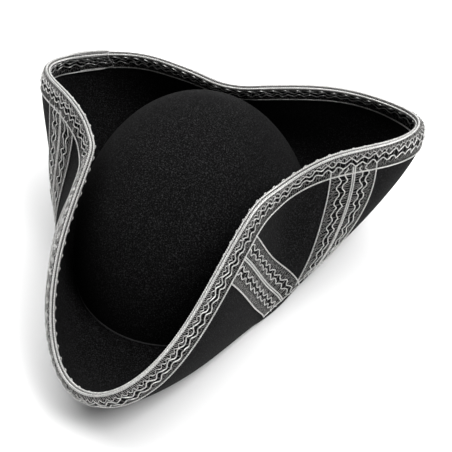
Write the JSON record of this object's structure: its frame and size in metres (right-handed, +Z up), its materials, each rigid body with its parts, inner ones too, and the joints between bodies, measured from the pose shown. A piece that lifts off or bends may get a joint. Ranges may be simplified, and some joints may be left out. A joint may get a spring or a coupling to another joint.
{
  "type": "pirate hat",
  "caption": "Black wool-felt cocked hat with an oval domed crown, a brim turned up on three sides, and openwork metallic braid along the rim and in crossed bands on the panels.",
  "frame": {"origin": "centre of the oval head opening, on the plane of the head line where crown and brim meet", "axes": "+Z up out of the crown, -Y to the front corner, +X to the wearer's left"},
  "size_m": [0.277, 0.2941, 0.1242],
  "materials": {
    "wool_felt": "matte pressed wool felt",
    "silver_braid": "openwork braid of metallic yarn",
    "ribbed_ribbon": "ribbed grosgrain ribbon",
    "sewing_thread": "cotton thread",
    "blank_label": "plain woven tape"
  },
  "bodies": {
    "root": {"crown_felt": "wool_felt", "brim_felt": "wool_felt", "edge_braid": "silver_braid", "right_front_band": "silver_braid", "right_rear_band": "silver_braid", "left_front_band": "silver_braid", "left_rear_band": "silver_braid", "back_right_band": "silver_braid", "back_left_band": "silver_braid", "sweatband": "ribbed_ribbon", "sweatband_thread": "sewing_thread", "size_label": "blank_label"}
  },
  "joints": []
}
